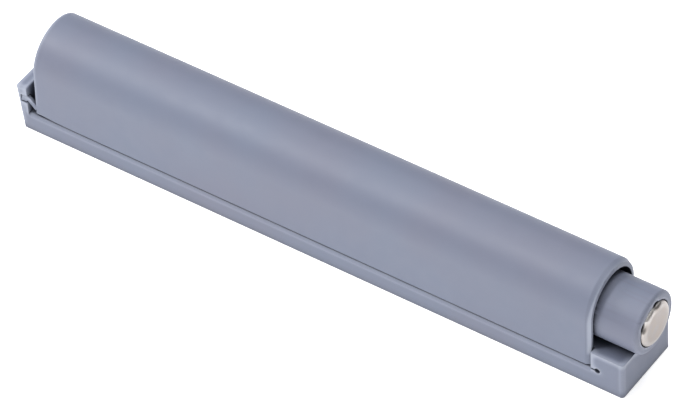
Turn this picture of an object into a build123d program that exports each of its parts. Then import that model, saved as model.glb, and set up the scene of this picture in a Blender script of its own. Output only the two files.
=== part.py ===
from build123d import *
import os

# Push to open catch, surface mounted, shown latched: the plunger is home and its heart cam holds it.
# Frame: +X along the plunger towards its tip, +Z up from the panel the base is screwed to.
# The origin is on the underside of the base, midway between its two screw holes. Units are millimetres.

os.makedirs("parts", exist_ok=True)

# ---- Driving dimensions ----
base_width = 12.5
base_front_x = 52.5
base_rear_x = -52.9
floor_thickness = 2.0
ledge_z = 3.2                 # top of the side ledges that the housing stands on
screw_spacing = 64.0
screw_hole_radius = 1.8
screw_head_radius = 3.5

housing_radius = 6.05         # outside of the arch and half the housing's width
housing_wall = 0.9
arch_z = 11.86                # height of the arch's centre
housing_rear_x = -50.6
housing_front_x = 46.9
joint_gap = 0.25              # shadow gap between the ledge and the housing's outer face

plunger_radius = 4.95
axis_z = 10.65                # height of the plunger's axis
plunger_rear_x = -38.9
plunger_tip_x = 53.85
throw = 32.0                  # travel from latched to fully out

spring_radius = 2.9           # centre line of the coil
spring_wire = 0.6
spring_turns = 5
wire_sides = 6                # wire sections are faceted, to keep the long pieces light
follower_wire_dia = 0.9
follower_x = -2.0             # where the follower's tip stands

running_gap = 0.05            # all round the plunger in its guides
press_gap = 0.02              # between pieces that are pressed together
snap_x = (-30.0, 0.0, 30.0)   # middles of the snap beads
snap_length = 6.0
snap_z = 4.6
snap_bead_radius = 0.3
snap_groove_radius = 0.42
snap_play = 0.2               # the grooves are longer than the beads by this at each end

# ---- Values worked out from them ----
half_width = base_width / 2
inner_radius = housing_radius - housing_wall
fit_gap = 0.1                 # between pieces that stand beside each other without moving
lip_outer_y = inner_radius - fit_gap
lip_inner_y = 4.1
lip_rear_x = -49.0
lip_top_z = 5.4
foot_top_z = 6.5
foot_rear_x = 44.0
foot_gap = 0.2                # between the housing's mouth and the full-width foot
saddle_gap = 0.2              # round the plunger in the foot's open saddle
bore_radius = spring_radius + spring_wire
spring_step_x = 8.0
flat_z = axis_z - 4.2         # flat under the plunger that seats the cam slide
slide_bottom_z = 3.95
slide_rear_x = follower_x - 35.4
slide_front_x = follower_x + 5.5
stop_x = slide_front_x + throw + 0.1
stop_thickness = 2.5
block_front_x = -42.3
washer_thickness = 0.5
washer_rim = 0.4              # how far the washer reaches beyond the coil's centre line
wire_run_z = 3.0
peg_x = (slide_rear_x + 6, slide_front_x - 6)
peg_radius = 1.0


def arch_face(radius, centre_z, bottom_z):
    """Upside-down U outline: straight sides under a half round, closed along the bottom."""
    with BuildLine() as outline:
        Polyline(
            (-radius, centre_z), (-radius, bottom_z), (radius, bottom_z), (radius, centre_z)
        )
        ThreePointArc((radius, centre_z), (0, centre_z + radius), (-radius, centre_z))
    make_face(outline.edges())


def strip(x_from, x_to, y_from, y_to, z_from, z_to, mode=Mode.ADD):
    """Plain block between two corners given in either order, added to or cut from the part."""
    with Locations(((x_from + x_to) / 2, (y_from + y_to) / 2, (z_from + z_to) / 2)):
        Box(abs(x_to - x_from), abs(y_to - y_from), abs(z_to - z_from), mode=mode)


def bar_x(x_from, x_to, y, z, radius, mode=Mode.ADD):
    """Round bar or hole along X."""
    with Locations(((x_from + x_to) / 2, y, z)):
        Cylinder(radius, x_to - x_from, rotation=(0, 90, 0), mode=mode)


# ---- Base plate: one moulding ----
end_wall_front_x = -51.8
end_wall_back_x = -53.8       # at the top; the wall's rear face leans out from base_rear_x
end_wall_top_z = 8.15
slot_floor_z = 5.2
slot_top_z = 6.6
slot_rear_x = -53.0
slot_depth = 0.95
ledge_rim_round = 0.55
foot_corner_round = 0.55
leaning_edge_round = 0.4
top_edge_round = 0.3
groove_end_x = 48.2
groove_height = 0.3
groove_depth = 0.5
groove_end_radius = 0.45

with BuildPart() as base_plate:
    strip(base_rear_x, base_front_x, -half_width, half_width, 0, floor_thickness)
    for side in (-1, 1):
        strip(base_rear_x, base_front_x, side * lip_inner_y, side * half_width, 0, ledge_z)
        strip(lip_rear_x, foot_rear_x + 1, side * lip_inner_y, side * lip_outer_y, 0, lip_top_z)
    # front foot: full width in front of the housing, narrower where it runs in under it
    strip(foot_rear_x, base_front_x, -lip_outer_y, lip_outer_y, 0, foot_top_z)
    strip(housing_front_x + foot_gap, base_front_x, -half_width, half_width, 0, foot_top_z)
    # rear end wall with its leaning rear face
    with BuildSketch(Plane.XZ.offset(-half_width)):
        with BuildLine():
            Polyline(
                (end_wall_front_x, 0), (base_rear_x, 0), (end_wall_back_x, end_wall_top_z),
                (end_wall_front_x, end_wall_top_z), close=True,
            )
        make_face()
    extrude(amount=base_width)
    # cross wall that stops the slide at full throw
    strip(stop_x, stop_x + stop_thickness, -lip_outer_y, lip_outer_y, 0, foot_top_z)
    # rounded upright corners, then the long ledge rims, the end wall's top and the foot's front rim
    fillet(base_plate.edges().filter_by(Axis.Z).group_by(Axis.X)[-1], foot_corner_round)
    long_rims = base_plate.edges().filter_by(Axis.X).filter_by_position(Axis.Z, 3.1, 3.3)
    fillet(long_rims.filter_by(lambda e: abs(e.center().Y) > half_width - 0.01), ledge_rim_round)
    leaning = base_plate.edges().filter_by(lambda e: e.center().X < base_rear_x - 0.1)
    fillet(leaning.filter_by(lambda e: 1 < e.center().Z < end_wall_top_z - 1), leaning_edge_round)
    fillet(base_plate.edges().group_by(Axis.Z)[-1], top_edge_round)
    # half-round saddles that carry the plunger
    saddle_radius = plunger_radius + running_gap
    bar_x(stop_x - 1, stop_x + stop_thickness + 1, 0, axis_z, saddle_radius, Mode.SUBTRACT)
    bar_x(foot_rear_x - 1, base_front_x + 1, 0, axis_z, plunger_radius + saddle_gap, Mode.SUBTRACT)
    # slots in the end wall for the housing's hooks, and the groove that runs on into the foot
    for side in (-1, 1):
        outer = side * (half_width + 1)
        deep = side * (half_width - slot_depth)
        shallow = side * (half_width - groove_depth)
        strip(slot_rear_x, end_wall_front_x + 1, outer, deep, slot_floor_z, slot_top_z, Mode.SUBTRACT)
        groove_top_z = ledge_z + groove_height
        strip(housing_front_x, groove_end_x, outer, shallow, ledge_z, groove_top_z, Mode.SUBTRACT)
        with Locations((groove_end_x, side * half_width, ledge_z + groove_height / 2)):
            Cylinder(groove_end_radius, 2 * groove_depth, rotation=(90, 0, 0), mode=Mode.SUBTRACT)
        # round beads on the lips that snap into the housing
        for x in snap_x:
            bar_x(x - snap_length / 2, x + snap_length / 2, side * lip_outer_y, snap_z, snap_bead_radius)
    with Locations(*[(x, 0, floor_thickness) for x in (-screw_spacing / 2, screw_spacing / 2)]):
        CounterSinkHole(screw_hole_radius, screw_head_radius, floor_thickness, 90)
base_plate.part.label = "base_plate"

# ---- Housing: one moulding, closed at the rear and open at the front and below ----
housing_bottom_z = ledge_z + joint_gap
rear_wall = 1.2
rear_lean = 0.4               # mould draft: the rear face leans in by this at the crown
mouth_relief = 0.3            # the wall is thinner by this in front of the front collar
mouth_chamfer = 0.5
rear_round = 0.45
collar_x = (0.0, 40.0)
collar_length = 3.0
hook_width = 0.55
hook_y = housing_radius - 0.05 - hook_width / 2
hook_tail = (-52.95, 5.3, 6.5)  # rear end of the hook, and its height from and to

with BuildPart() as housing:
    with BuildSketch(Plane.YZ.offset(housing_rear_x)):
        arch_face(housing_radius, arch_z, housing_bottom_z)
    extrude(amount=housing_front_x - housing_rear_x)
    crown_z = arch_z + housing_radius
    with BuildSketch(Plane.XZ.offset(-housing_radius - 1)):
        with BuildLine():
            Polyline(
                (housing_rear_x - 1, housing_bottom_z), (housing_rear_x, housing_bottom_z),
                (housing_rear_x + rear_lean, crown_z), (housing_rear_x + rear_lean, crown_z + 1),
                (housing_rear_x - 1, crown_z + 1), close=True,
            )
        make_face()
    extrude(amount=2 * housing_radius + 2, mode=Mode.SUBTRACT)
    rims = housing.edges().filter_by(lambda e: e.center().Z > housing_bottom_z + 0.01)
    chamfer(rims.group_by(Axis.X)[-1], mouth_chamfer)
    fillet(rims.filter_by(lambda e: e.center().X < housing_rear_x + rear_lean + 0.1), rear_round)
    # inner half of the wall reaches down to the ledge, the outer half stops short of it
    with BuildSketch(Plane.YZ.offset(housing_rear_x + housing_wall / 2)):
        with Locations((0, ledge_z + 1)):
            Rectangle(2 * housing_radius - housing_wall, 2)
    extrude(amount=housing_front_x - housing_rear_x - housing_wall)
    with BuildSketch(Plane.YZ.offset(housing_rear_x + rear_wall)):
        arch_face(inner_radius, arch_z, ledge_z - 1)
    extrude(amount=housing_front_x - housing_rear_x, mode=Mode.SUBTRACT)
    with BuildSketch(Plane.YZ.offset(collar_x[-1] + collar_length)):
        arch_face(inner_radius + mouth_relief, arch_z, lip_top_z)
    extrude(amount=housing_front_x, mode=Mode.SUBTRACT)
    # guide collars, bored to the plunger
    for x in collar_x:
        with BuildSketch(Plane.YZ.offset(x)):
            arch_face(inner_radius + fit_gap, arch_z, axis_z)
            with Locations((0, axis_z)):
                Circle(plunger_radius + running_gap, mode=Mode.SUBTRACT)
        extrude(amount=collar_length)
    for side in (-1, 1):
        # grooves for the snap beads
        for x in snap_x:
            reach = snap_length / 2 + snap_play
            bar_x(x - reach, x + reach, side * lip_outer_y, snap_z, snap_groove_radius, Mode.SUBTRACT)
        # hook at the rear corner: rises off the wall and lies back into the end wall's slot
        with BuildSketch(Plane.XZ.offset(-side * hook_y)):
            with BuildLine():
                tail_x, tail_low, tail_high = hook_tail
                Polyline(
                    (-50.0, 3.8), (-50.0, 5.2), (end_wall_front_x, tail_high), (tail_x, tail_high),
                    (tail_x, tail_low), (end_wall_front_x, tail_low), (-51.6, 4.9), (-50.5, 3.9),
                    close=True,
                )
            make_face()
        extrude(amount=hook_width / 2, both=True)
housing.part.label = "housing"

# ---- Rear block: moulded, fills the arch behind the spring ----
block_rear_x = housing_rear_x + rear_wall + fit_gap
rod_rear_x = -48.5
rod_radius = 2.0
wire_leg_x = -45.5
wire_slot_half_width = 0.5
pocket_x = (-47.9, -43.5)
pocket_y = (2.9, 4.1)
pocket_floor_z = 8.0

with BuildPart() as rear_block:
    with BuildSketch(Plane.YZ.offset(block_rear_x)):
        arch_face(lip_outer_y, arch_z, lip_top_z + fit_gap)
    extrude(amount=block_front_x - block_rear_x)
    tongue_y = lip_inner_y - 0.2
    strip(block_rear_x, block_front_x, -tongue_y, tongue_y, floor_thickness + fit_gap, lip_top_z + fit_gap)
    bar_x(rod_rear_x, block_front_x + 1, 0, axis_z, rod_radius, Mode.SUBTRACT)
    # cored pockets either side of the rod's socket
    for side in (-1, 1):
        y_low, y_high = side * pocket_y[0], side * pocket_y[1]
        strip(*pocket_x, y_low, y_high, pocket_floor_z, arch_z + housing_radius, Mode.SUBTRACT)
    # upright hole and slot that anchor the follower wire
    with Locations((wire_leg_x, 0, 5.0)):
        Cylinder(follower_wire_dia / 2 + running_gap, 6.0, mode=Mode.SUBTRACT)
    slot_y = wire_slot_half_width
    strip(wire_leg_x - slot_y, block_front_x + 1, -slot_y, slot_y, 1.0, wire_run_z + 1.0, Mode.SUBTRACT)
rear_block.part.label = "rear_block"

# ---- Guide rod, spring washer and main spring ----
with BuildPart() as guide_rod:
    bar_x(rod_rear_x, 2.0, 0, axis_z, rod_radius - press_gap)
    chamfer(guide_rod.edges().group_by(Axis.X)[-1], 0.5)
guide_rod.part.label = "guide_rod"

with BuildPart() as spring_washer:
    with BuildSketch(Plane.YZ.offset(block_front_x)):
        with Locations((0, axis_z)):
            Circle(spring_radius + washer_rim)
            Circle(rod_radius + fit_gap, mode=Mode.SUBTRACT)
    extrude(amount=washer_thickness)
spring_washer.part.label = "spring_washer"

spring_rear_x = block_front_x + washer_thickness + spring_wire / 2 + running_gap
spring_length = spring_step_x - spring_wire / 2 - running_gap - spring_rear_x
with BuildPart() as main_spring:
    with BuildLine():
        coil = Helix(
            spring_length / spring_turns,
            spring_length,
            spring_radius,
            center=(spring_rear_x, 0, axis_z),
            direction=(1, 0, 0),
        )
    with BuildSketch(Plane(coil @ 0, z_dir=coil % 0)):
        RegularPolygon(spring_wire / 2, wire_sides)
    sweep(is_frenet=True)
main_spring.part.label = "main_spring"

# ---- Follower: spring wire, bent up at the rear into the block and at the front into the cam track ----
wire_leg_top_z = 7.5
with BuildPart() as follower_wire:
    with BuildLine():
        FilletPolyline(
            (wire_leg_x, 0, wire_leg_top_z),
            (wire_leg_x, 0, wire_run_z),
            (follower_x, 0, wire_run_z),
            (follower_x, 0, 4.85),
            radius=1.0,
        )
    with BuildSketch(Plane.XY.offset(wire_leg_top_z)):
        with Locations((wire_leg_x, 0)):
            RegularPolygon(follower_wire_dia / 2, wire_sides)
    sweep()
follower_wire.part.label = "follower_wire"

# ---- Plunger: one moulding, with the magnet head let into its tip ----
plate_radius = 3.55
plate_thickness = 1.5
plate_proud = 0.45            # how far the pole plate stands out of the plunger's end
notch_turn = 118.0            # where the pair of notches in the plate's rim sits, from level
notch_spread = 32.5           # each notch stands this far either side of that
notch_radius = 1.6
notch_reach = 4.82            # distance of a notch's centre from the axis
notch_corner_round = 0.45
plate_edge_chamfer = 0.25
relief_radius = 0.65
relief_reach = 3.2
magnet_radius = 3.0
magnet_length = 3.0
keeper_thickness = 1.0
hollow_radius = 2.4           # lightening bore between the spring's step and the magnet's socket
socket_floor = 1.3            # wall left between that bore and the socket
tip_round = 0.6
relief_depth = 2.0            # behind the pole plate's seat
plate_seat_x = plunger_tip_x + plate_proud - plate_thickness
keeper_rear_x = plate_seat_x - magnet_length - keeper_thickness

with BuildPart() as plunger:
    bar_x(plunger_rear_x, plunger_tip_x, 0, axis_z, plunger_radius)
    fillet(plunger.edges().group_by(Axis.X)[-1], tip_round)
    chamfer(plunger.edges().group_by(Axis.X)[0], 0.3)
    bar_x(plunger_rear_x - 1, spring_step_x, 0, axis_z, bore_radius, Mode.SUBTRACT)
    bar_x(spring_step_x - 1, keeper_rear_x - socket_floor, 0, axis_z, hollow_radius, Mode.SUBTRACT)
    # pocket under the rear half that seats the cam slide, with its two peg holes
    strip(slide_rear_x, slide_front_x, -6, 6, 0, flat_z, Mode.SUBTRACT)
    with Locations(*[(x, 0, flat_z) for x in peg_x]):
        Cylinder(peg_radius, 2.0, mode=Mode.SUBTRACT)
    # socket for the magnet, and in front of it the seat for the pole plate
    bar_x(keeper_rear_x, plunger_tip_x, 0, axis_z, magnet_radius + running_gap, Mode.SUBTRACT)
    bar_x(plate_seat_x, plunger_tip_x + 1, 0, axis_z, plate_radius + fit_gap, Mode.SUBTRACT)
    # deep relief behind each notch, where the moulding tool's pins stood
    with BuildSketch(Plane.YZ.offset(plate_seat_x - relief_depth)):
        for turn in (notch_turn - notch_spread, notch_turn + notch_spread):
            with Locations(Location((0, axis_z), turn)):
                with Locations((relief_reach, 0)):
                    Circle(relief_radius)
    extrude(amount=2 * relief_depth, mode=Mode.SUBTRACT)
plunger.part.label = "plunger"

# ---- Magnet head: pole plate in front, magnet, keeper plate behind ----
with BuildPart() as pole_plate:
    with BuildSketch(Plane.YZ.offset(plate_seat_x)):
        with Locations((0, axis_z)):
            Circle(plate_radius)
        for turn in (notch_turn - notch_spread, notch_turn + notch_spread):
            with Locations(Location((0, axis_z), turn)):
                with Locations((notch_reach, 0)):
                    Circle(notch_radius, mode=Mode.SUBTRACT)
    extrude(amount=plate_thickness)
    fillet(pole_plate.edges().filter_by(Axis.X), notch_corner_round)
    chamfer(pole_plate.edges().group_by(Axis.X)[-1], plate_edge_chamfer)
pole_plate.part.label = "pole_plate"

with BuildPart() as magnet:
    bar_x(keeper_rear_x + keeper_thickness, plate_seat_x, 0, axis_z, magnet_radius)
magnet.part.label = "magnet"

with BuildPart() as keeper_plate:
    bar_x(keeper_rear_x, keeper_rear_x + keeper_thickness, 0, axis_z, magnet_radius)
keeper_plate.part.label = "keeper_plate"

# ---- Cam slide: heart cam track on its underside, facing the follower wire ----
track_depth = 1.1
track_floor_z = slide_bottom_z + track_depth
tail_end_x = -33.2            # track points are measured from the latched tip
tail_start_x = -8.4
tail_half_width = 0.65
pocket_end_x = 4.6
divider_x = 3.6               # point between the two pockets, clear of the tip at full push
lane_y = 2.75
ramp_rise = 0.3

with BuildPart() as cam_slide:
    strip(slide_rear_x + 0.05, slide_front_x - 0.05, -3.6, 3.6, slide_bottom_z, flat_z)
    chamfer(cam_slide.faces().sort_by(Axis.Z)[0].edges().filter_by(Axis.X), 0.3)
    with Locations(*[(x, 0, flat_z) for x in peg_x]):
        Cylinder(peg_radius - press_gap, 0.6, align=(Align.CENTER, Align.CENTER, Align.MIN))
    # track: a long tail for the throw, two lanes round the heart, and two blind pockets in front of it
    with BuildSketch(Plane((follower_x, 0, slide_bottom_z))) as track:
        with BuildLine():
            Polyline(
                (tail_end_x, -tail_half_width), (tail_start_x, -tail_half_width),
                (-3.6, -lane_y + 0.2), (1.0, -lane_y), (pocket_end_x, -2.0), (pocket_end_x, -0.9),
                (divider_x, 0.4), (pocket_end_x, 1.2), (pocket_end_x, 1.9), (1.0, lane_y),
                (-3.6, lane_y - 0.2), (tail_start_x, tail_half_width), (tail_end_x, tail_half_width),
                close=True,
            )
        make_face()
        fillet(track.vertices(), 0.3)
    extrude(amount=track_depth, mode=Mode.SUBTRACT)
    # the heart, with the notch that catches the tip
    with BuildSketch(Plane((follower_x, 0, slide_bottom_z))) as heart:
        with BuildLine():
            Polyline(
                (-6.6, 0), (-3.2, -1.15), (-1.0, -1.4), (0.5, -0.95), (0.5, 0.95),
                (-1.0, 1.4), (-3.2, 1.15), close=True,
            )
        make_face()
        fillet(heart.vertices(), 0.2)
        Circle(follower_wire_dia / 2 + running_gap, mode=Mode.SUBTRACT)
        with Locations((0.5, 0)):
            Rectangle(1.0, follower_wire_dia + 2 * running_gap, mode=Mode.SUBTRACT)
    extrude(amount=track_depth)
    # one-way ramps on the track's floor: in-lane, release pocket and out-lane
    for x_low, x_high, y_from, y_to in (
        (follower_x - 5.6, follower_x - 1.6, 1.0, 2.7),
        (follower_x - 3.0, follower_x - 7.6, -2.6, -0.4),
        (follower_x + 1.4, follower_x + 0.8, -0.4, 0.4),
    ):
        with BuildSketch(Plane.XZ.offset(-y_to)):
            with BuildLine():
                Polyline(
                    (x_low, track_floor_z + 0.05), (x_high, track_floor_z + 0.05),
                    (x_high, track_floor_z - ramp_rise), close=True,
                )
            make_face()
        extrude(amount=y_to - y_from)
cam_slide.part.label = "cam_slide"

for piece in (
    base_plate, housing, rear_block, guide_rod, spring_washer, main_spring, follower_wire,
    plunger, pole_plate, magnet, keeper_plate, cam_slide,
):
    export_step(piece.part, f"parts/{piece.part.label}.step")
    print(piece.part.label, round(piece.part.volume, 1), piece.part.is_valid)
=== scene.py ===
import bmesh
import bpy
import numpy as np
from mathutils import Matrix, Vector


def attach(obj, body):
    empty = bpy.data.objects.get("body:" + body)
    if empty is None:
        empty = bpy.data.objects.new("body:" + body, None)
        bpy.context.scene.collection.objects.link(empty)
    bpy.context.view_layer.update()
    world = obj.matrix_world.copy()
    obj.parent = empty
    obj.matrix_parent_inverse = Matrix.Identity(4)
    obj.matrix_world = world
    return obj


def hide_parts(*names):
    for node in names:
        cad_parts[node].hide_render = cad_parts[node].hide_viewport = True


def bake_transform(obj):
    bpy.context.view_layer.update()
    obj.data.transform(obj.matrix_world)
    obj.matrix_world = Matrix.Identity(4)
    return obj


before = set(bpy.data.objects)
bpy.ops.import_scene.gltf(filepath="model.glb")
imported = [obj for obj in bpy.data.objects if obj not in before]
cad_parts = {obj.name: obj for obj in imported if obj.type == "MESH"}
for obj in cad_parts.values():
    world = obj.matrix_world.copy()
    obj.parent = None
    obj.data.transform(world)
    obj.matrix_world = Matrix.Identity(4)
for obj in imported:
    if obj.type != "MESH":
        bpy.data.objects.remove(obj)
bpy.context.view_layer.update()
print("frame loaded:", len(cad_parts), "nodes")

mm = 0.001  # sizes below are in millimetres, Blender works in metres
axisHeight = 10.65  # the plunger's axis above the panel
sharpDegrees = 32  # edges that turn by more than this are shaded as edges
weldMm = 0.003  # points nearer than this become one
fineness = 0.55  # how strong the finer layers of every noise pattern are
noiseLow, noiseHigh = 0.3, 0.7  # most of a noise pattern's values lie between these
scene = bpy.context.scene


def srgb(hexColour):
    # sRGB hex to linear RGBA
    values = [int(hexColour[i:i + 2], 16) / 255 for i in (1, 3, 5)]
    linear = [v / 12.92 if v <= 0.04045 else ((v + 0.055) / 1.055) ** 2.4 for v in values]
    return (*linear, 1.0)


def addNode(tree, kind, output, settings, inputs):
    # one node, and the socket that it gives: settings are its attributes, and each input is a value
    # or the socket of another node
    node = tree.nodes.new("ShaderNode" + kind)
    for key, value in settings.items():
        setattr(node, key, value)
    for key, value in inputs.items():
        if isinstance(value, bpy.types.NodeSocket):
            tree.links.new(value, node.inputs[key])
        else:
            node.inputs[key].default_value = value
    return node.outputs[output] if output else None


def newMaterial(name):
    material = bpy.data.materials.new(name)
    material.use_nodes = True
    tree = material.node_tree
    tree.nodes.clear()
    return material, tree


def patternPlace(tree, stretch=(1.0, 1.0, 1.0)):
    # object coordinates, divided along each axis so that a pattern runs longer that way
    place = addNode(tree, "TexCoord", "Object", {}, {})
    scale = tuple(1 / part for part in stretch)
    return addNode(tree, "Mapping", "Vector", {}, {"Vector": place, "Scale": scale})


# rays for each look at the shape near a point, and the shares of free rays between which an edge goes
# from no painted highlight to the full painted highlight
edgeLook = {"bevelRays": 6, "rays": 12, "noPaintedHighlight": 0.93, "paintedHighlight": 0.6}


def paintedEdgeHighlight(tree, reachMm):
    # painted highlight: 1 along outer edges and 0 on open faces, because short rays sent inwards meet another
    # face only near an edge
    near = addNode(tree, "AmbientOcclusion", "AO", {"samples": edgeLook["rays"], "inside": True},
                   {"Distance": reachMm * mm})
    return addNode(tree, "MapRange", "Result", {},
                   {"Value": near, "From Min": edgeLook["noPaintedHighlight"], "From Max": edgeLook["paintedHighlight"]})


def recessShade(tree, reachMm, openShare, shutShare):
    # painted shade: 1 deep in joints and inner corners, where little light reaches, and 0 on open faces
    near = addNode(tree, "AmbientOcclusion", "AO", {"samples": edgeLook["rays"]}, {"Distance": reachMm * mm})
    return addNode(tree, "MapRange", "Result", {},
                   {"Value": near, "From Min": openShare, "From Max": shutShare})


greyPlastic = {
    "colour": "#727688",
    "darker": "#6C7082",
    "cooler": "#6E7588",
    # colour of the painted highlight along the edges
    "paintedHighlight": "#959BAB",
    # colour of the painted shade in joints and recesses
    "paintedShade": "#343844",
    "cloudMm": 2.2,
    "driftMm": 14.0,
    "driftFrom": 0.35,
    "driftTo": 0.65,
    "grainMm": 0.16,
    "grainDepthMm": 0.012,
    "grainStrength": 0.35,
    "edgeMm": 0.12,
    "highlightFadeMm": 0.8,
    "shiniest": 0.52,
    "dullest": 0.61,
    "streakMm": 0.5,
    "streakStretch": 26.0,
    "streakFrom": 0.52,
    "streakTo": 0.68,
    "streakPolish": 0.07,
    "ior": 1.53,
}
# how each moulding is shaded and worn: how far in from edges the painted highlight reaches and from what
# height up, how far into a joint the painted shade is looked for and between which shares of open sky it
# fades in, and marks from sliding
paintedLightAndWear = {
    "base": {"highlightReachMm": 1.1, "highlightAboveMm": 0.6, "shadeReachMm": 3.0, "openShare": 0.72, "shutShare": 0.22,
             "streaks": 0.0},
    "shell": {"highlightReachMm": 0.82, "highlightAboveMm": 5.2, "shadeReachMm": 3.0, "openShare": 0.72, "shutShare": 0.22,
              "streaks": 0.0},
    "sliding": {"highlightReachMm": 0.7, "highlightAboveMm": 4.0, "shadeReachMm": 1.3, "openShare": 0.84, "shutShare": 0.42,
                "streaks": 1.0},
}


def makeGreyPlastic(name, lightAndWear):
    # moulded ABS: a soft cloudy blue-grey, a fine spark-eroded grain, painted shade in the joints, and a
    # painted highlight that makes edges lighter, left off low down, below a given height;
    # a piece that slides in its guides has long faint marks along it
    s = greyPlastic
    material, tree = newMaterial(name)
    place = patternPlace(tree)
    cloud = addNode(tree, "TexNoise", "Fac", {},
                    {"Vector": place, "Scale": 1 / (s["cloudMm"] * mm), "Detail": 3.0, "Roughness": fineness})
    drift = addNode(tree, "TexNoise", "Fac", {},
                    {"Vector": place, "Scale": 1 / (s["driftMm"] * mm), "Detail": 1.0, "Roughness": fineness})
    colour = addNode(tree, "Mix", "Result", {"data_type": "RGBA"},
                     {"Factor": cloud, "A": srgb(s["darker"]), "B": srgb(s["colour"])})
    cool = addNode(tree, "MapRange", "Result", {},
                   {"Value": drift, "From Min": s["driftFrom"], "From Max": s["driftTo"]})
    colour = addNode(tree, "Mix", "Result", {"data_type": "RGBA"},
                     {"Factor": cool, "A": colour, "B": srgb(s["cooler"])})
    height = addNode(tree, "SeparateXYZ", "Z", {}, {"Vector": place})
    # painted highlight: edges are made lighter in colour, only from a given height up
    highlightFromHeight = addNode(tree, "MapRange", "Result", {},
                      {"Value": height, "From Min": lightAndWear["highlightAboveMm"] * mm,
                       "From Max": (lightAndWear["highlightAboveMm"] + s["highlightFadeMm"]) * mm})
    highlightMask = addNode(tree, "Math", "Value", {"operation": "MULTIPLY"},
                  {0: paintedEdgeHighlight(tree, lightAndWear["highlightReachMm"]), 1: highlightFromHeight})
    colour = addNode(tree, "Mix", "Result", {"data_type": "RGBA"},
                     {"Factor": highlightMask, "A": colour, "B": srgb(s["paintedHighlight"])})
    # painted shade: joints, recesses and the plunger near the mouth are made darker in colour
    paintedShadeMask = recessShade(tree, lightAndWear["shadeReachMm"], lightAndWear["openShare"], lightAndWear["shutShare"])
    colour = addNode(tree, "Mix", "Result", {"data_type": "RGBA"},
                     {"Factor": paintedShadeMask, "A": colour, "B": srgb(s["paintedShade"])})
    shine = addNode(tree, "MapRange", "Result", {},
                    {"Value": cloud, "From Min": noiseLow, "From Max": noiseHigh,
                     "To Min": s["shiniest"], "To Max": s["dullest"]})
    if lightAndWear["streaks"] > 0:
        along = patternPlace(tree, (s["streakStretch"], 1.0, 1.0))
        lines = addNode(tree, "TexNoise", "Fac", {},
                        {"Vector": along, "Scale": 1 / (s["streakMm"] * mm), "Detail": 4.0,
                         "Roughness": fineness})
        marks = addNode(tree, "MapRange", "Result", {},
                        {"Value": lines, "From Min": s["streakFrom"], "From Max": s["streakTo"],
                         "To Max": lightAndWear["streaks"]})
        colour = addNode(tree, "Mix", "Result", {"data_type": "RGBA"},
                         {"Factor": marks, "A": colour, "B": srgb(s["darker"])})
        shine = addNode(tree, "Math", "Value", {"operation": "MULTIPLY_ADD"},
                        {0: marks, 1: -s["streakPolish"], 2: shine})
    soft = addNode(tree, "Bevel", "Normal", {"samples": edgeLook["bevelRays"]}, {"Radius": s["edgeMm"] * mm})
    grain = addNode(tree, "TexNoise", "Fac", {},
                    {"Vector": place, "Scale": 1 / (s["grainMm"] * mm), "Detail": 2.0, "Roughness": fineness})
    bump = addNode(tree, "Bump", "Normal", {},
                   {"Height": grain, "Normal": soft, "Strength": s["grainStrength"],
                    "Distance": s["grainDepthMm"] * mm})
    surface = addNode(tree, "BsdfPrincipled", "BSDF", {},
                      {"Base Color": colour, "Roughness": shine, "Normal": bump, "IOR": s["ior"]})
    addNode(tree, "OutputMaterial", None, {}, {"Surface": surface})
    return material


whiteAcetal = {
    "colour": "#E4E2DA",
    "shade": "#D8D5CB",
    "cloudMm": 3.0,
    "grainMm": 0.2,
    "grainDepthMm": 0.01,
    "grainStrength": 0.25,
    "edgeMm": 0.15,
    "shiniest": 0.32,
    "dullest": 0.42,
    "ior": 1.48,
    "milkiness": 0.15,
    "milkDepthMm": 0.4,
}


def makeWhiteAcetal():
    # natural acetal: milky off-white, slightly waxy, a little light goes into it
    s = whiteAcetal
    material, tree = newMaterial("naturalAcetal")
    place = patternPlace(tree)
    cloud = addNode(tree, "TexNoise", "Fac", {},
                    {"Vector": place, "Scale": 1 / (s["cloudMm"] * mm), "Detail": 3.0, "Roughness": fineness})
    colour = addNode(tree, "Mix", "Result", {"data_type": "RGBA"},
                     {"Factor": cloud, "A": srgb(s["shade"]), "B": srgb(s["colour"])})
    grain = addNode(tree, "TexNoise", "Fac", {},
                    {"Vector": place, "Scale": 1 / (s["grainMm"] * mm), "Detail": 2.0, "Roughness": fineness})
    soft = addNode(tree, "Bevel", "Normal", {"samples": edgeLook["bevelRays"]}, {"Radius": s["edgeMm"] * mm})
    bump = addNode(tree, "Bump", "Normal", {},
                   {"Height": grain, "Normal": soft, "Strength": s["grainStrength"],
                    "Distance": s["grainDepthMm"] * mm})
    shine = addNode(tree, "MapRange", "Result", {},
                    {"Value": grain, "From Min": noiseLow, "From Max": noiseHigh,
                     "To Min": s["shiniest"], "To Max": s["dullest"]})
    surface = addNode(tree, "BsdfPrincipled", "BSDF", {},
                      {"Base Color": colour, "Roughness": shine, "Normal": bump, "IOR": s["ior"],
                       "Subsurface Weight": s["milkiness"], "Subsurface Scale": s["milkDepthMm"] * mm})
    addNode(tree, "OutputMaterial", None, {}, {"Surface": surface})
    return material


springSteel = {
    "colour": "#B4B4B6",
    "drawn": "#8F9094",
    "drawnFrom": 0.35,
    "drawnTo": 0.6,
    "lineMm": 0.12,
    "stretch": 30.0,
    "lineDepthMm": 0.004,
    "lineStrength": 0.2,
    "shiniest": 0.22,
    "dullest": 0.35,
}


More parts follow.
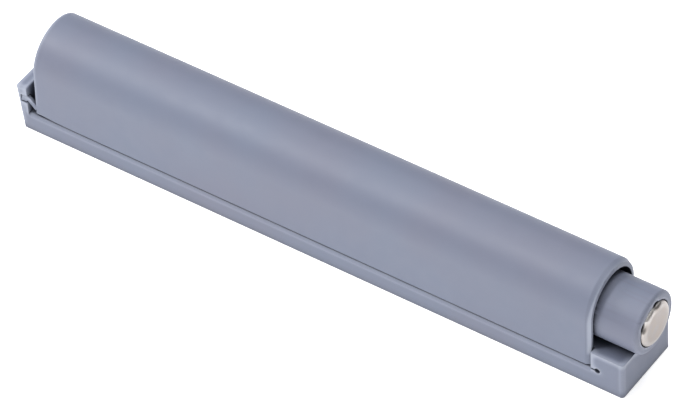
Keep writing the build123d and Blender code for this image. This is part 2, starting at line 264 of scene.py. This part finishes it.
def makeSpringSteel():
    # drawn steel: bright, with fine lines along the wire or rod that darken and roughen it
    s = springSteel
    material, tree = newMaterial("drawnSpringSteel")
    along = patternPlace(tree, (s["stretch"], 1.0, 1.0))
    lines = addNode(tree, "TexNoise", "Fac", {},
                    {"Vector": along, "Scale": 1 / (s["lineMm"] * mm), "Detail": 4.0, "Roughness": fineness})
    bright = addNode(tree, "MapRange", "Result", {},
                     {"Value": lines, "From Min": s["drawnFrom"], "From Max": s["drawnTo"]})
    colour = addNode(tree, "Mix", "Result", {"data_type": "RGBA"},
                     {"Factor": bright, "A": srgb(s["drawn"]), "B": srgb(s["colour"])})
    bump = addNode(tree, "Bump", "Normal", {},
                   {"Height": lines, "Strength": s["lineStrength"], "Distance": s["lineDepthMm"] * mm})
    shine = addNode(tree, "MapRange", "Result", {},
                    {"Value": lines, "From Min": noiseLow, "From Max": noiseHigh,
                     "To Min": s["dullest"], "To Max": s["shiniest"]})
    surface = addNode(tree, "BsdfPrincipled", "BSDF", {},
                      {"Base Color": colour, "Roughness": shine, "Normal": bump, "Metallic": 1.0})
    addNode(tree, "OutputMaterial", None, {}, {"Surface": surface})
    return material


satinNickel = {
    "colour": "#918C8B",
    "warm": "#948A84",
    # colour of the painted highlight along the edges and the painted glint between the notches
    "paintedHighlight": "#F0EEEC",
    # colour of the painted shade deep in the notches
    "paintedNotchShade": "#141416",
    "blotchMm": 1.6,
    "blotchFrom": 0.35,
    "blotchTo": 0.7,
    "grainMm": 0.09,
    "grainDepthMm": 0.004,
    "grainStrength": 0.3,
    "edgeMm": 0.08,
    "highlightReachMm": 1.2,
    # the painted highlight on the edges is full only far out along this direction, where it stands in for the
    # glint on the strip between the notches
    "stripDirection": (0.0, -0.47, 0.88),
    "stripFromMm": 11.8,
    "stripToMm": 12.6,
    "elsewhere": 0.45,
    "shadeReachMm": 1.4,
    "openShare": 0.48,
    "shutShare": 0.28,
    "shiniest": 0.29,
    "dullest": 0.40,
    "scuff": 0.24,
}


def makeSatinNickel():
    # nickel over stamped steel: satin from tumbling, faint warm blotches, a painted highlight that makes
    # edges whiter and duller, strongest as a painted glint between the notches, and painted shade that makes
    # the notches black
    s = satinNickel
    material, tree = newMaterial("satinNickelPlate")
    place = patternPlace(tree)
    blotch = addNode(tree, "TexNoise", "Fac", {},
                     {"Vector": place, "Scale": 1 / (s["blotchMm"] * mm), "Detail": 3.0,
                      "Roughness": fineness})
    warmth = addNode(tree, "MapRange", "Result", {},
                     {"Value": blotch, "From Min": s["blotchFrom"], "From Max": s["blotchTo"]})
    colour = addNode(tree, "Mix", "Result", {"data_type": "RGBA"},
                     {"Factor": warmth, "A": srgb(s["colour"]), "B": srgb(s["warm"])})
    # painted highlight along the edges, full only on the strip between the notches, where it is a painted
    # glint
    outwards = addNode(tree, "VectorMath", "Value", {"operation": "DOT_PRODUCT"},
                       {0: place, 1: s["stripDirection"]})
    glintZone = addNode(tree, "MapRange", "Result", {},
                      {"Value": outwards, "From Min": s["stripFromMm"] * mm, "From Max": s["stripToMm"] * mm,
                       "To Min": s["elsewhere"]})
    highlightMask = addNode(tree, "Math", "Value", {"operation": "MULTIPLY"},
                  {0: paintedEdgeHighlight(tree, s["highlightReachMm"]), 1: glintZone})
    colour = addNode(tree, "Mix", "Result", {"data_type": "RGBA"},
                     {"Factor": highlightMask, "A": colour, "B": srgb(s["paintedHighlight"])})
    # painted shade: the notches and other recesses are made near black in colour
    notchShadeMask = recessShade(tree, s["shadeReachMm"], s["openShare"], s["shutShare"])
    colour = addNode(tree, "Mix", "Result", {"data_type": "RGBA"},
                     {"Factor": notchShadeMask, "A": colour, "B": srgb(s["paintedNotchShade"])})
    grain = addNode(tree, "TexNoise", "Fac", {},
                    {"Vector": place, "Scale": 1 / (s["grainMm"] * mm), "Detail": 3.0, "Roughness": fineness})
    soft = addNode(tree, "Bevel", "Normal", {"samples": edgeLook["bevelRays"]}, {"Radius": s["edgeMm"] * mm})
    bump = addNode(tree, "Bump", "Normal", {},
                   {"Height": grain, "Normal": soft, "Strength": s["grainStrength"],
                    "Distance": s["grainDepthMm"] * mm})
    satin = addNode(tree, "MapRange", "Result", {},
                    {"Value": grain, "From Min": noiseLow, "From Max": noiseHigh,
                     "To Min": s["shiniest"], "To Max": s["dullest"]})
    shine = addNode(tree, "Math", "Value", {"operation": "MULTIPLY_ADD"}, {0: highlightMask, 1: s["scuff"], 2: satin})
    surface = addNode(tree, "BsdfPrincipled", "BSDF", {},
                      {"Base Color": colour, "Roughness": shine, "Normal": bump, "Metallic": 1.0})
    addNode(tree, "OutputMaterial", None, {}, {"Surface": surface})
    return material


materials = {
    "base": makeGreyPlastic("mouldedAbsBase", paintedLightAndWear["base"]),
    "shell": makeGreyPlastic("mouldedAbsShell", paintedLightAndWear["shell"]),
    "sliding": makeGreyPlastic("mouldedAbsSliding", paintedLightAndWear["sliding"]),
    "acetal": makeWhiteAcetal(),
    "steel": makeSpringSteel(),
    "nickel": makeSatinNickel(),
}
# CAD nodes whose own shape is right, and the finish each one gets
carriedOver = {
    "base_plate": "base", "rear_block": "acetal", "cam_slide": "acetal", "guide_rod": "steel",
    "spring_washer": "steel", "keeper_plate": "steel", "magnet": "nickel",
}
for nodeName, finish in carriedOver.items():
    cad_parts[nodeName].material_slots[0].material = materials[finish]
print("materials made:", len(materials))


def softened(corners, steps=6, guard=0.08):
    # path through corners (a, b, radius): at each corner with a radius an arc touches both sides,
    # point = centre + (sin((1-t) w) from + sin(t w) to) / sin w, with a guard point just outside each end
    corners = np.array(corners, float)
    parts = [corners[:1, :2]]
    for before, corner, after in zip(corners[:-2], corners[1:-1], corners[2:]):
        if corner[2] <= 0:
            parts.append(corner[None, :2])
            continue
        sides = (before[:2] - corner[:2], after[:2] - corner[:2])
        towards = [side / np.linalg.norm(side) for side in sides]
        half = np.arccos(np.clip(towards[0] @ towards[1], -1, 1)) / 2
        reach = corner[2] / np.tan(half)
        bisector = (towards[0] + towards[1]) / np.linalg.norm(towards[0] + towards[1])
        centre = corner[:2] + bisector * corner[2] / np.sin(half)
        start, end = (corner[:2] + way * reach - centre for way in towards)
        swept = np.pi - 2 * half
        t = np.linspace(0, 1, steps + 1)[:, None]
        arc = centre + (np.sin((1 - t) * swept) * start + np.sin(t * swept) * end) / np.sin(swept)
        parts.append(corner[None, :2] + towards[0] * (reach + guard))
        parts.append(arc)
        parts.append(corner[None, :2] + towards[1] * (reach + guard))
    parts.append(corners[-1:, :2])
    return np.concatenate(parts)


def turned(x, radius, angles):
    # surface round the plunger's axis: (x, radius cos angle, axis height + radius sin angle)
    return np.stack((x + 0 * angles, radius * np.cos(angles), axisHeight + radius * np.sin(angles)), axis=-1)


def tube(centre, radii, sideways, sides):
    # round section carried along a path: centre + radius (cos a sideways + sin a upright), where
    # upright is the cross product of the tangent and sideways
    tangent = np.gradient(centre, axis=0)
    tangent /= np.linalg.norm(tangent, axis=1, keepdims=True)
    sideways = sideways - np.sum(sideways * tangent, axis=1, keepdims=True) * tangent
    sideways /= np.linalg.norm(sideways, axis=1, keepdims=True)
    upright = np.cross(tangent, sideways)
    a = np.linspace(0, 2 * np.pi, sides, endpoint=False)[None, :, None]
    around = np.cos(a) * sideways[:, None] + np.sin(a) * upright[:, None]
    return centre[:, None] + np.asarray(radii)[:, None, None] * around


def makePiece(name, grids, nodes, finish, body=None):
    # grids are (points, closed) pairs: points is a rows × columns × 3 array in millimetres,
    # each four neighbours make one face, and closed joins the last column to the first
    points, faces, first = [], [], 0
    for grid, closed in grids:
        rows, columns = grid.shape[:2]
        index = first + np.arange(rows * columns).reshape(rows, columns)
        if closed:
            index = np.concatenate((index, index[:, :1]), axis=1)
        corners = (index[:-1, :-1], index[:-1, 1:], index[1:, 1:], index[1:, :-1])
        faces.append(np.stack(corners, axis=-1).reshape(-1, 4))
        points.append(grid.reshape(-1, 3))
        first += rows * columns
    mesh = bpy.data.meshes.new(name)
    mesh.from_pydata((np.concatenate(points) * mm).tolist(), [], np.concatenate(faces).tolist())
    work = bmesh.new()
    work.from_mesh(mesh)
    # seams and poles close here, because points that lie together become one
    bmesh.ops.remove_doubles(work, verts=work.verts, dist=weldMm * mm)
    bmesh.ops.recalc_face_normals(work, faces=work.faces)
    openEdges = sum(1 for edge in work.edges if len(edge.link_faces) != 2)
    work.to_mesh(mesh)
    work.free()
    mesh.polygons.foreach_set("use_smooth", np.ones(len(mesh.polygons), bool))
    mesh.set_sharp_from_angle(angle=np.radians(sharpDegrees))
    mesh.materials.append(materials[finish])
    piece = bpy.data.objects.new(name, mesh)
    scene.collection.objects.link(piece)
    if body:
        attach(piece, body)
    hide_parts(*nodes)
    print(name, len(mesh.polygons), "faces,", openEdges, "open edges")
    return piece


plunger = {
    "radius": 4.95, "tip": 53.85, "rear": -38.9, "tipRound": 0.6, "tipLength": 2.0, "rearBevel": 0.3,
    "boreRadius": 3.5, "boreRound": 0.15, "springStep": 8.0, "stepRound": 0.2,
    "hollowRadius": 2.4, "hollowEnd": 47.5, "hollowRound": 0.4,
    "socketRadius": 3.05, "socketFloor": 48.8, "seatRadius": 3.65, "seatFloor": 52.8,
    "lipRound": 0.15, "lipWidth": 0.5,
    "flatFrom": -37.4, "flatTo": 3.5, "flatHeight": 6.45,
    "reliefDepth": 2.0, "reliefHalfAngle": 11.0, "reliefOut": 0.32, "reliefEdge": 0.01,
    "notchAngles": (85.5, 150.5),
    "columns": 96, "barrelRows": 9,
    # extra columns at each relief: share of its half angle, and degrees beyond that
    "reliefColumns": ((0.6, 0), (0.8, 0), (0.9, 0), (1, 0), (1, 0.02)),
}


def makePlunger():
    s = plunger
    # rows: x and radius, from the middle of the socket's floor round the tip to the spring's bore
    socket = [(s["socketFloor"], 0), (s["socketFloor"], s["socketRadius"])]
    seat = [(s["seatFloor"], s["socketRadius"]), (s["seatFloor"], s["seatRadius"])]
    lip = softened([(s["seatFloor"], s["seatRadius"], 0), (s["tip"], s["seatRadius"], s["lipRound"]),
                    (s["tip"], s["seatRadius"] + s["lipWidth"], 0)])[1:-1]
    tip = softened([(s["tip"], s["seatRadius"], 0), (s["tip"], s["radius"], s["tipRound"]),
                    (s["flatTo"], s["radius"], 0)])[1:-1]
    barrelFrom = s["tip"] - s["tipLength"]
    barrel = [(x, s["radius"]) for x in np.linspace(barrelFrom, s["flatTo"], s["barrelRows"])]
    flat = [(x, s["radius"]) for x in np.linspace(s["flatTo"], s["flatFrom"], s["barrelRows"])]
    rear = softened([(s["flatFrom"], s["radius"], 0), (s["rear"], s["radius"], s["rearBevel"]),
                     (s["rear"], s["boreRadius"], s["boreRound"]), (s["springStep"], s["boreRadius"], 0),
                     (s["springStep"], s["hollowRadius"], s["stepRound"]),
                     (s["hollowEnd"], s["hollowRadius"], s["hollowRound"]), (s["hollowEnd"], 0, 0)])
    parts = (socket, seat, lip, tip, barrel, flat, rear)
    rows = np.concatenate(parts)
    count = [len(part) for part in parts]
    # 1 on the rows that the flat under the plunger cuts, and on those that the reliefs sink or widen
    cutByFlat = np.repeat([0, 0, 0, 0, 0, 1, 0], count)[:, None]
    sunk = np.repeat([0, 1, 0, 0, 0, 0, 0], count)[:, None]
    widened = np.repeat([0, 0, 1, 0, 0, 0, 0], count)
    widened[count[0] + 1] = 1
    # the flat's edges lie where the barrel's circle crosses its height
    flatEdge = np.arcsin((s["flatHeight"] - axisHeight) / s["radius"])
    reliefs = np.radians([centre + side * (s["reliefHalfAngle"] * share + gap)
                          for centre in s["notchAngles"] for side in (-1, 1)
                          for share, gap in s["reliefColumns"]])
    angles = np.sort(np.concatenate((np.linspace(-np.pi, np.pi, s["columns"], endpoint=False),
                                     [flatEdge, -np.pi - flatEdge], reliefs)))
    away = np.min([np.abs(np.degrees(angles) - centre) for centre in s["notchAngles"]], axis=0)
    # the seat widens over each relief in half an ellipse: out × sqrt(1 - (angle / half angle)²)
    bulge = s["reliefOut"] * np.sqrt(np.maximum(1 - (away / s["reliefHalfAngle"]) ** 2, 0))
    radius = rows[:, 1:2] + widened[:, None] * bulge
    points = turned(rows[:, :1], radius, angles)
    points[..., 2] = np.where(cutByFlat, np.maximum(points[..., 2], s["flatHeight"]), points[..., 2])
    points[..., 0] -= sunk * (away < s["reliefHalfAngle"] + s["reliefEdge"]) * s["reliefDepth"]
    makePiece("plungerBarrel", [(points, True)], ["plunger"], "sliding", "plunger")


makePlunger()

polePlate = {
    "radius": 3.55, "front": 54.3, "back": 52.8, "backRound": 0.08, "backChamfer": 0.12,
    "edgeRound": 0.6, "edgeSpread": 1.2,  # the edge reaches further in than it is high, by the spread
    "notchRadius": 1.6, "notchReach": 4.82, "notchAngles": (85.5, 150.5), "cornerBlend": 0.3,
    "columns": 288, "rings": 7, "edgeSteps": 8, "edgeGuard": 0.02, "faceRim": 0.1,
}


def plateOutline(inset, angles):
    # outline in polar form, moved inwards by inset: the disc's radius, and near each notch the nearer
    # crossing of the ray with the notch's circle, reach cos d - sqrt(notch² - reach² sin² d),
    # joined to it by a smooth minimum
    s = polePlate
    radius = s["radius"] - inset + 0 * angles
    notch = s["notchRadius"] + inset
    for centre in s["notchAngles"]:
        d = (angles - np.radians(centre) + np.pi) % (2 * np.pi) - np.pi
        inside = notch ** 2 - (s["notchReach"] * np.sin(d)) ** 2
        nearer = s["notchReach"] * np.cos(d) - np.sqrt(np.maximum(inside, 0))
        nearer = np.where((inside > 0) & (np.abs(d) < 1), nearer, 2 * s["radius"])
        share = np.clip(0.5 + 0.5 * (nearer - radius) / s["cornerBlend"], 0, 1)
        radius = nearer * (1 - share) + radius * share - s["cornerBlend"] * share * (1 - share)
    return radius


def makePolePlate():
    # rows: how far x lies forward and the outline lies in, round the plate's edge, then in to the middle
    s = polePlate
    angles = np.linspace(0, 2 * np.pi, s["columns"], endpoint=False)
    edge = softened([(s["back"], s["backChamfer"], 0), (s["back"], 0, s["backRound"]),
                     (s["front"], 0, s["edgeRound"]), (s["front"], s["edgeRound"] + s["faceRim"], 0)],
                    s["edgeSteps"], s["edgeGuard"])
    radius = plateOutline(edge[:, 1:] * s["edgeSpread"], angles[None])
    shrink = np.linspace(1, 0, s["rings"])[:, None]
    radius = np.concatenate((radius[:1] * shrink[::-1], radius[1:-1], radius[-1:] * shrink))
    x = np.concatenate((np.full(s["rings"], s["back"]), edge[1:-1, 0], np.full(s["rings"], s["front"])))
    makePiece("nickelPolePlate", [(turned(x[:, None], radius, angles), True)], ["pole_plate"],
              "nickel", "plunger")


makePolePlate()

mainSpring = {
    "rear": -41.8, "front": 7.98, "coilRadius": 2.9, "wire": 0.6, "turns": 22, "perTurn": 40, "sides": 12,
    # turns that lie closed at each end, turns over which they open, and a closed turn's pitch in wires
    "closedTurns": 0.9, "openingTurns": 0.6, "closedPitch": 1.02,
}


def makeMainSpring():
    # helix whose pitch is one wire at both ends, where the coils close, and even between:
    # x is the running sum of the pitch, y and z turn round the axis
    s = mainSpring
    turn = np.linspace(0, s["turns"], s["turns"] * s["perTurn"] + 1)
    fromEnd = np.minimum(turn, s["turns"] - turn)
    opened = np.clip((fromEnd - s["closedTurns"]) / s["openingTurns"], 0, 1)
    opened = opened * opened * (3 - 2 * opened)
    length = s["front"] - s["rear"] - s["wire"]
    closed = s["wire"] * s["closedPitch"]
    pitch = closed + (length - closed * s["turns"]) / opened.mean() / s["turns"] * opened
    x = np.concatenate(([0], np.cumsum((pitch[1:] + pitch[:-1]) / 2 * np.diff(turn))))
    x = s["rear"] + s["wire"] / 2 + x * length / x[-1]
    radial = np.stack((0 * turn, np.cos(2 * np.pi * turn), np.sin(2 * np.pi * turn)), axis=-1)
    centre = s["coilRadius"] * radial + np.stack((x, 0 * x, 0 * x + axisHeight), axis=-1)
    radii = np.full(len(turn), s["wire"] / 2)
    radii[[0, -1]] = 0
    piece = makePiece("mainSpringCoil", [(tube(centre, radii, radial, s["sides"]), True)], ["main_spring"],
                      "steel")
    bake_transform(piece)


makeMainSpring()

followerWire = {
    "radius": 0.45, "legX": -45.5, "legTop": 7.5, "run": 3.0, "tipX": -2.0, "tipTop": 4.85, "bend": 1.0,
    "bendSteps": 10, "bendGuard": 0.1, "sides": 16, "endRings": 6,
}


def makeFollowerWire():
    # round wire along a path of straight runs and two quarter bends, with rounded ends
    s = followerWire
    corners = [(s["legX"], s["legTop"], 0), (s["legX"], s["run"], s["bend"]),
               (s["tipX"], s["run"], s["bend"]), (s["tipX"], s["tipTop"], 0)]
    path = softened(corners, s["bendSteps"], s["bendGuard"])
    # rounded ends: rings of radius sin t, set back by radius (1 - cos t)
    t = np.linspace(0, np.pi / 2, s["endRings"])
    back = s["radius"] * (1 - np.cos(t))
    first = np.stack((s["legX"] + 0 * t, s["legTop"] - back), axis=-1)
    last = np.stack((s["tipX"] + 0 * t, s["tipTop"] - back), axis=-1)[::-1]
    path = np.concatenate((first, path[1:-1], last))
    radii = np.full(len(path), s["radius"])
    radii[:len(t)] *= np.sin(t)
    radii[-len(t):] *= np.sin(t)[::-1]
    centre = np.stack((path[:, 0], 0 * path[:, 0], path[:, 1]), axis=-1)
    sideways = np.zeros_like(centre)
    sideways[:, 1] = 1
    makePiece("followerWireRod", [(tube(centre, radii, sideways, s["sides"]), True)], ["follower_wire"],
              "steel", "body")


makeFollowerWire()

housing = {
    "radius": 6.05, "wall": 0.9, "archHeight": 11.86, "rear": -50.6, "front": 46.9,
    "bottom": 3.45, "innerBottom": 3.2, "stepAt": 5.6, "heelRise": 0.32, "heelReach": 3.0,
    "rearWall": 1.2, "rearLean": 0.4, "rearRound": 0.36, "roundSteps": 8,
    "mouthBevel": 0.4, "mouthBevelLength": 0.8, "mouthRadius": 5.2, "mouthFrom": 43.0, "mouthDrop": 0.35,
    "mouthStep": 0.02, "bevelGuard": 0.1,
    "collars": (0.0, 40.0), "collarLength": 3.0, "collarBore": 5.0,
    "grooves": (-30.0, 0.0, 30.0), "grooveHalf": 3.2, "grooveHeight": 4.6, "grooveRadius": 0.42,
    "grooveAt": 5.05, "stepRim": 0.03, "collarPress": 0.05,
    # rows of points: distances from the rear wall, shares of the upright side, and columns round the arch
    "rearRows": (0, 0.4, 1.0, 1.8, 2.8, 4.0, 6.0), "rearMiddle": 3.0,
    "lowLevels": (0, 0.03), "highLevels": (0.3, 0.5, 0.7, 0.9, 0.98),
    "grooveLevels": 9, "archColumns": 61, "collarColumns": 49,
}
hooks = {
    "foot": (-50.35, 4.5), "bend": (-51.8, 5.9), "tail": (-52.98, 5.9), "bendRadius": 0.6,
    "bendSteps": 6, "bendGuard": 0.05,
    "middleY": 5.73, "halfWidth": 0.27, "proud": 0.2, "lean": 0.2,
    "legHalf": 0.42, "tailHalf": 0.63, "swellShare": 0.25,  # the leg swells to the tail over this share of it
    # the section's corners, across from inside to outside and up
    "section": ((-1, -0.8), (-0.8, -1), (0.8, -1), (1, -0.85), (1, 0.85), (0.8, 1), (-0.8, 1), (-1, 0.8)),
}


def archPath(radius, bottom, levels, arc, drop=0.0):
    # upright side, half round, upright side: y = -radius up to the arch's centre, then
    # (-radius cos a, centre + radius sin a), then y = +radius down again; drop lowers the centre
    rows = np.broadcast_arrays(np.asarray(radius, float), np.asarray(bottom, float), np.asarray(drop, float))
    radius, bottom, drop = (row[:, None] for row in rows)
    centre = housing["archHeight"] - drop
    height = bottom + (centre - bottom) * levels
    y = np.concatenate((-radius + 0 * height, -radius * np.cos(arc), radius + 0 * height), axis=1)
    z = np.concatenate((height, centre + radius * np.sin(arc), height[:, ::-1]), axis=1)
    return y, z


def sheet(x, y, z):
    # one grid of points from its three coordinates, each spread to the same rows and columns
    return np.stack(np.broadcast_arrays(x, y, z), axis=-1)


def closedBar(loops):
    # a bar from a row of closed loops: its side, and at each end the loop drawn in to its middle
    grids = [(loops, True)]
    for end in (0, -1):
        middle = np.broadcast_to(loops[end].mean(axis=0), loops[end].shape)
        grids.append((np.stack((loops[end], middle)), True))
    return grids


def shellGrids():
    s = housing
    inner = s["radius"] - s["wall"]
    rearFace = s["rear"] + s["rearWall"]
    # side levels as shares of the upright part, close together where the snap grooves run
    turn = np.linspace(-np.pi / 2, np.pi / 2, s["grooveLevels"])
    groove = s["grooveHeight"] + s["grooveRadius"] * np.sin(turn) - s["innerBottom"]
    span = s["archHeight"] - s["innerBottom"]
    levels = np.concatenate((s["lowLevels"], groove / span, s["highLevels"]))[None]
    arc = np.linspace(0, np.pi, s["archColumns"])[None]

    # stations along the housing: x, and 1 inside a snap groove
    stations = [(rearFace + along, 0) for along in s["rearRows"]]
    for centre in s["grooves"]:
        stations += [(centre - s["grooveHalf"], 0), (centre - s["grooveHalf"], 1),
                     (centre + s["grooveHalf"], 1), (centre + s["grooveHalf"], 0)]
    bevelFrom = s["front"] - s["mouthBevelLength"]
    stations += [(at, 0) for at in (s["mouthFrom"], s["mouthFrom"] + s["mouthStep"],
                                    bevelFrom - s["bevelGuard"], bevelFrom, s["front"])]
    x, inGroove = np.array(stations, float).T
    outerRadius = np.full(len(x), s["radius"])
    outerRadius[-1] -= s["mouthBevel"]
    innerRadius = np.where(x > s["mouthFrom"], s["mouthRadius"], inner)
    innerDrop = np.where(x > s["mouthFrom"], s["mouthDrop"], 0.0)
    innerBottom = np.full(len(x), s["innerBottom"])
    # the outer rim rises a little towards the rear: rise × exp(-((x - rear) / reach)²)
    outerBottom = s["bottom"] + s["heelRise"] * np.exp(-((x - s["rear"]) / s["heelReach"]) ** 2)
    rearBottom = outerBottom[0]
    innerBottom[0] = rearBottom

    # outer skin, and the rear wall's leaning face that closes on the middle line
    outer = sheet(x[:, None], *archPath(outerRadius, outerBottom, levels, arc))
    rear = softened([(rearFace, s["radius"], 0), (s["rear"], s["radius"], s["rearRound"]),
                     (s["rear"], s["rearMiddle"], 0), (s["rear"], 0.0, 0)],
                    s["roundSteps"])
    yRear, zRear = archPath(rear[:, 1], rearBottom, levels, arc)
    lean = s["rearLean"] * (zRear - s["bottom"]) / (s["archHeight"] + s["radius"] - s["bottom"])
    share = np.clip((rearFace - rear[:, 0]) / s["rearWall"], 0, 1)[:, None]
    rearSkin = sheet(rear[:, :1] + lean * share, yRear, zRear)

    # inner skin with its snap grooves, whose section is part of a circle sunk into the wall
    yIn, zIn = archPath(innerRadius, innerBottom, levels, arc, innerDrop)
    circle = np.maximum(s["grooveRadius"] ** 2 - (zIn - s["grooveHeight"]) ** 2, 0)
    depth = np.maximum(s["grooveAt"] + np.sqrt(circle) - inner, 0) * (zIn < s["archHeight"] - 1)
    innerSkin = sheet(x[:, None], yIn + np.sign(yIn) * inGroove[:, None] * depth, zIn)
    # the rear wall's inner face has as many points to the middle line as the rear face, less the wall's two
    seatRadius = np.linspace(inner, 0, len(rear) - 2)
    seat = sheet(rearFace, *archPath(seatRadius, rearBottom, levels, arc))

    # mouth ring, bottom rims with the step that leaves the shadow gap, and the rear wall's underside
    mouth = np.stack((outer[-1], innerSkin[-1]))
    grids = [(outer, False), (rearSkin, False), (innerSkin, False), (seat, False), (mouth, False)]
    for column, sign in ((0, -1), (-1, 1)):
        step = sign * np.minimum(s["stepAt"], outerRadius - s["stepRim"])
        lines = np.stack((outer[:, column], sheet(x, step, outer[:, column, 2]),
                          sheet(x, step, innerSkin[:, column, 2]), innerSkin[:, column]))
        underside = np.concatenate((lines[:2, 0], seat[:, column]))
        mouthEnd = np.stack((lines[[0, 3], -1], lines[[1, 2], -1]))
        grids += [(lines, False), (np.stack((underside, rearSkin[:, column])), False), (mouthEnd, False)]
    return grids


def collarGrids():
    # the arch's outline outside, the plunger's bore inside, carried through each collar's length
    s = housing
    a = np.linspace(0, np.pi, s["collarColumns"])
    press = s["radius"] - s["wall"] + s["collarPress"]
    boreY, boreZ = -s["collarBore"] * np.cos(a), axisHeight + s["collarBore"] * np.sin(a)
    # a ray from the bore's centre reaches the arch, whose centre stands higher by rise
    rise = s["archHeight"] - axisHeight
    reach = rise * np.sin(a) + np.sqrt(press ** 2 - (rise * np.cos(a)) ** 2)
    reach = np.minimum(reach, press / np.maximum(np.abs(np.cos(a)), 1e-6))
    archY, archZ = -reach * np.cos(a), axisHeight + reach * np.sin(a)
    grids = []
    for start in s["collars"]:
        end = start + s["collarLength"]
        corners = (sheet(start, archY, archZ), sheet(start, boreY, boreZ),
                   sheet(end, boreY, boreZ), sheet(end, archY, archZ))
        grids += closedBar(np.stack(corners, axis=1))
    return grids


def hookGrids():
    # at the rear corners an eight-sided section is carried up off the wall and back into the slot,
    # its outer face leaning in towards the top as it goes back
    s = hooks
    path = softened([(*s["foot"], 0), (*s["bend"], s["bendRadius"]), (*s["tail"], 0)],
                    s["bendSteps"], s["bendGuard"])
    tangent = np.gradient(path, axis=0)
    tangent /= np.linalg.norm(tangent, axis=1, keepdims=True)
    normal = np.stack((tangent[:, 1], -tangent[:, 0]), axis=-1)
    across, upwards = np.array(s["section"]).T
    alongTail = np.clip((s["bend"][0] - path[:, :1]) / (s["bend"][0] - s["tail"][0]), 0, 1)
    swell = np.clip(alongTail / s["swellShare"], 0, 1)
    thickness = s["legHalf"] + (s["tailHalf"] - s["legHalf"]) * swell
    outwards = (across + 1) / 2 * (s["proud"] * alongTail - s["lean"] * alongTail * (upwards + 1) / 2)
    xz = path[:, None] + thickness[..., None] * upwards[None, :, None] * normal[:, None]
    grids = []
    for side in (-1, 1):
        y = side * (s["middleY"] + s["halfWidth"] * across + outwards)
        grids += closedBar(sheet(xz[..., 0], y, xz[..., 1]))
    return grids


def makeHousing():
    grids = shellGrids() + collarGrids() + hookGrids()
    makePiece("housingShell", grids, ["housing"], "shell", "body")


makeHousing()

cameraView = {
    "place": (337.65, -457.54, 570.01),
    "right": (0.82690793, 0.56092938, -0.03976824),
    "up": (-0.37223949, 0.5990093, 0.70896094),
    "back": (0.42149857, -0.57144211, 0.70412561),
    "sensorMm": 36.0,
    "lensMm": 292.0,
    "nearEnd": 0.01,
    "farEnd": 10.0,
}


def makeCamera():
    data = bpy.data.cameras.new("camera")
    data.sensor_fit = "HORIZONTAL"
    data.sensor_width = cameraView["sensorMm"]
    data.lens = cameraView["lensMm"]
    data.clip_start = cameraView["nearEnd"]
    data.clip_end = cameraView["farEnd"]
    camera = bpy.data.objects.new("camera", data)
    scene.collection.objects.link(camera)
    turn = Matrix([cameraView["right"], cameraView["up"], cameraView["back"]]).transposed().to_4x4()
    camera.matrix_world = Matrix.Translation(Vector(cameraView["place"]) * mm) @ turn
    scene.camera = camera


makeCamera()

# soft boxes: where each stands and how wide it is, in metres, and its power in watts
softBoxes = {
    "rearKey": ((-0.45, -0.45, 0.80), 0.25, 5.97),
    "rearLow": ((-0.85, 0.0, 0.55), 0.30, 4.54),
    "frontFill": ((0.40, -0.78, 0.12), 0.50, 0.95),
    "farTop": ((0.0, 0.50, 0.85), 0.40, 2.84),
    "top": ((0.0, 0.0, 1.0), 0.50, 2.5),
    "tipGlint": ((0.42, -0.26, 0.87), 0.2, 0.9),
}
studio = {
    "worldColour": "#FFFFFF", "worldStrength": 0.17,
    "floorColour": "#F4F4F4", "floorGlow": 0.65, "floorRoughness": 0.9, "floorGloss": 0.1,
    "floorHalf": 3.0, "floorGap": 0.0001,
}


def makeStudio():
    world = bpy.data.worlds.new("world")
    world.use_nodes = True
    background = world.node_tree.nodes["Background"]
    background.inputs["Color"].default_value = srgb(studio["worldColour"])
    background.inputs["Strength"].default_value = studio["worldStrength"]
    scene.world = world
    for name, (place, size, watts) in softBoxes.items():
        data = bpy.data.lights.new(name, "AREA")
        data.size = size
        data.energy = watts
        light = bpy.data.objects.new(name, data)
        scene.collection.objects.link(light)
        light.location = place
        light.rotation_euler = (-Vector(place)).to_track_quat("-Z", "Y").to_euler()
    # the floor is a light table: white paper lit a little from below
    half = studio["floorHalf"]
    mesh = bpy.data.meshes.new("floor")
    corners = [(-half, -half, 0), (half, -half, 0), (half, half, 0), (-half, half, 0)]
    mesh.from_pydata(corners, [], [(0, 1, 2, 3)])
    floor = bpy.data.objects.new("floor", mesh)
    scene.collection.objects.link(floor)
    floor.location.z = -studio["floorGap"]
    material, tree = newMaterial("litWhitePaper")
    surface = addNode(tree, "BsdfPrincipled", "BSDF", {},
                      {"Base Color": srgb(studio["floorColour"]), "Roughness": studio["floorRoughness"],
                       "Specular IOR Level": studio["floorGloss"], "Emission Color": srgb("#FFFFFF"),
                       "Emission Strength": studio["floorGlow"]})
    addNode(tree, "OutputMaterial", None, {}, {"Surface": surface})
    mesh.materials.append(material)


makeStudio()
scene.view_settings.view_transform = "Standard"
print("studio set")
